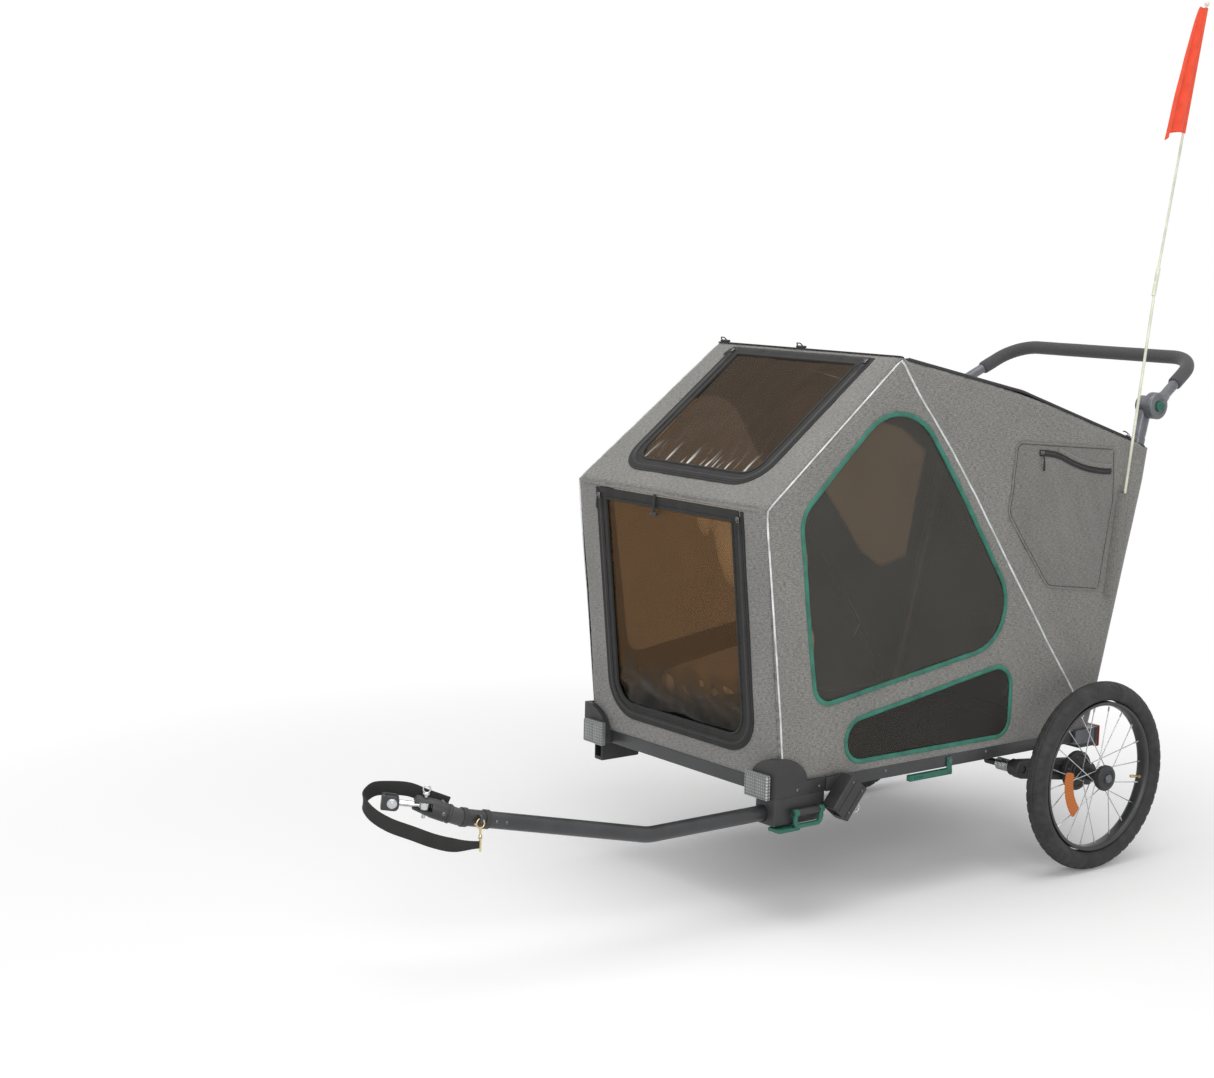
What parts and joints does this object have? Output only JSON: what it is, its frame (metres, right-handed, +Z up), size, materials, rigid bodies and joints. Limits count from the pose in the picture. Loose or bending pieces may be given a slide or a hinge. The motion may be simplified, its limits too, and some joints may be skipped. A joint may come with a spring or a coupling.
{
  "type": "bicycle trailer",
  "caption": "Two-wheeled pet trailer with a fabric cabin on a low frame, a cranked drawbar with hitch, a push handle and a safety flag.",
  "frame": {"origin": "under the middle of the whole part, on the floor it stands on", "axes": "+Z up, -Y along the drawbar towards the bicycle, +X the trailer's left side, which carries the drawbar and the flag"},
  "size_m": [0.803, 2.0476, 1.8109],
  "materials": {
    "black_frame": "satin",
    "black_plastic": "matt",
    "black_webbing": "woven",
    "green_plastic": "satin",
    "flag_cloth": "woven",
    "dark_fabric": "woven",
    "clear_reflector": "glossy",
    "grey_arm": "satin",
    "grip_foam": "matt foam",
    "bright_steel": "bright",
    "pole_fibreglass": "satin",
    "grey_fabric": "woven",
    "red_reflector": "glossy",
    "window_film": "glossy",
    "brass": "bright",
    "orange_reflector": "glossy",
    "tyre_rubber": "matt"
  },
  "bodies": {
    "chassis": {"rail_left": "black_frame", "rail_right": "black_frame", "crossbar_front": "black_frame", "floor_panel": "black_webbing", "rear_beam": "black_frame", "rear_reflector_left": "red_reflector", "rear_reflector_right": "red_reflector", "corner_front_left": "black_plastic", "corner_front_right": "black_plastic", "front_reflector_left": "clear_reflector", "front_reflector_right": "clear_reflector", "front_hoop": "black_frame", "diagonal_hoop": "black_frame", "handle_posts": "grey_arm", "side_panel_left": "grey_fabric", "side_panel_right": "grey_fabric", "side_window_left": "window_film", "side_window_right": "window_film", "front_panel": "dark_fabric", "roof_panel": "grey_fabric", "rear_panel": "grey_fabric", "side_pocket": "grey_fabric", "pole_pocket": "grey_fabric", "suspension_bracket_left": "black_plastic", "suspension_bracket_right": "black_plastic", "spring_left": "bright_steel", "spring_right": "bright_steel", "wheel_receiver": "black_plastic"},
    "door": {"door": "black_webbing"},
    "roof_flap": {"roof_flap": "black_webbing"},
    "rear_roof_flap": {"rear_roof_flap": "grey_fabric"},
    "handle": {"handle_bar": "grey_arm", "handle_grip": "grip_foam"},
    "button_left": {"handle_button_left": "green_plastic"},
    "button_right": {"handle_button_right": "green_plastic"},
    "flag_pole": {"pole_lower": "pole_fibreglass"},
    "flag_tip": {"pole_upper": "pole_fibreglass", "flag": "flag_cloth"},
    "pull_pin": {"pull_pin": "bright_steel"},
    "rail_lever": {"rail_lever": "green_plastic"},
    "drawbar": {"drawbar": "black_frame", "coupler": "black_plastic", "safety_strap": "black_webbing", "snap_hook": "brass"},
    "drawbar_latch": {"drawbar_latch": "green_plastic"},
    "hitch_pin": {"hitch_pin": "bright_steel"},
    "hitch_rod": {"hitch_rod": "bright_steel"},
    "clevis": {"clevis": "black_frame"},
    "arm_left": {"swing_arm_left": "black_frame"},
    "wheel_left": {"tyre_left": "tyre_rubber", "rim_left": "black_frame", "hub_left": "black_plastic", "spoke_reflector_left": "orange_reflector"},
    "release_left": {"release_button_left": "grey_arm"},
    "arm_right": {"swing_arm_right": "black_frame"},
    "wheel_right": {"tyre_right": "tyre_rubber", "rim_right": "black_frame", "hub_right": "black_plastic", "spoke_reflector_right": "orange_reflector"},
    "release_right": {"release_button_right": "grey_arm"}
  },
  "joints": [
    {"name": "suspension_left", "type": "hinge", "parent": "chassis", "child": "arm_left", "pos_m": [0, 0.45995, 0.221], "axis": [1, 0, 0], "range_deg": [0, 8], "stiffness_Nm_per_rad": 420, "springref_deg": -6.88},
    {"name": "wheel_spin_left", "type": "hinge", "parent": "arm_left", "child": "wheel_left", "pos_m": [0, 0.61795, 0.2], "axis": [1, 0, 0], "continuous": true},
    {"name": "release_press_left", "type": "slide", "parent": "wheel_left", "child": "release_left", "axis": [-1, 0, 0], "range_m": [0, 0.003], "stiffness_N_per_m": 600, "springref_m": -0.002},
    {"name": "handle_button_press_left", "type": "slide", "parent": "handle", "child": "button_left", "axis": [-1, 0, 0], "range_m": [0, 0.003], "stiffness_N_per_m": 600, "springref_m": -0.002},
    {"name": "suspension_right", "type": "hinge", "parent": "chassis", "child": "arm_right", "pos_m": [0, 0.45995, 0.221], "axis": [1, 0, 0], "range_deg": [0, 8], "stiffness_Nm_per_rad": 420, "springref_deg": -6.88},
    {"name": "wheel_spin_right", "type": "hinge", "parent": "arm_right", "child": "wheel_right", "pos_m": [0, 0.61795, 0.2], "axis": [1, 0, 0], "continuous": true},
    {"name": "release_press_right", "type": "slide", "parent": "wheel_right", "child": "release_right", "axis": [1, 0, 0], "range_m": [0, 0.003], "stiffness_N_per_m": 600, "springref_m": -0.002},
    {"name": "handle_button_press_right", "type": "slide", "parent": "handle", "child": "button_right", "axis": [1, 0, 0], "range_m": [0, 0.003], "stiffness_N_per_m": 600, "springref_m": -0.002},
    {"name": "handle_tilt", "type": "hinge", "parent": "chassis", "child": "handle", "pos_m": [0, 0.83116, 0.964], "axis": [1, 0, 0], "range_deg": [-75, 105]},
    {"name": "door_open", "type": "hinge", "parent": "chassis", "child": "door", "pos_m": [0, -0.26127, 0.79774], "axis": [-1, 0, 0], "range_deg": [0, 150]},
    {"name": "roof_flap_open", "type": "hinge", "parent": "chassis", "child": "roof_flap", "pos_m": [0, 0.08217, 1.07371], "axis": [-1, 0, 0], "range_deg": [0, 115]},
    {"name": "rear_roof_open", "type": "hinge", "parent": "chassis", "child": "rear_roof_flap", "pos_m": [0, 0.10068, 1.07645], "axis": [1, 0, 0], "range_deg": [0, 90]},
    {"name": "pole_lift", "type": "slide", "parent": "chassis", "child": "flag_pole", "axis": [0, 0.1386, 0.9903], "range_m": [0, 0.2]},
    {"name": "pole_part", "type": "slide", "parent": "flag_pole", "child": "flag_tip", "axis": [0, 0.1933, 0.9811], "range_m": [0, 0.03]},
    {"name": "receiver_pin_pull", "type": "slide", "parent": "chassis", "child": "pull_pin", "axis": [0, 0.766, -0.6428], "range_m": [0, 0.008], "stiffness_N_per_m": 400, "springref_m": -0.004},
    {"name": "rail_lever_drop", "type": "hinge", "parent": "chassis", "child": "rail_lever", "pos_m": [0, 0.24895, 0.2665], "axis": [1, 0, 0], "range_deg": [0, 24]},
    {"name": "drawbar_slide", "type": "slide", "parent": "chassis", "child": "drawbar", "axis": [0, -1, 0], "range_m": [0, 0.1]},
    {"name": "drawbar_latch_swing", "type": "hinge", "parent": "chassis", "child": "drawbar_latch", "pos_m": [0.3125, -0.18105, 0.226], "axis": [0, -1, 0], "range_deg": [0, 100], "stiffness_Nm_per_rad": 0.15, "springref_deg": -22.92},
    {"name": "hitch_pin_pull", "type": "slide", "parent": "drawbar", "child": "hitch_pin", "axis": [0.0605, 0.1078, 0.9923], "range_m": [0, 0.034]},
    {"name": "hitch_yaw", "type": "hinge", "parent": "drawbar", "child": "hitch_rod", "pos_m": [0.2005, -0.93555, 0.3265], "axis": [0.0605, 0.1078, 0.9923], "range_deg": [-75, 75], "deforming": ["safety_strap"]},
    {"name": "hitch_pitch", "type": "hinge", "parent": "hitch_rod", "child": "clevis", "pos_m": [0.173, -0.98455, 0.3335], "axis": [0.8721, -0.4894, 0], "range_deg": [-60, 60], "deforming": ["safety_strap"]}
  ]
}
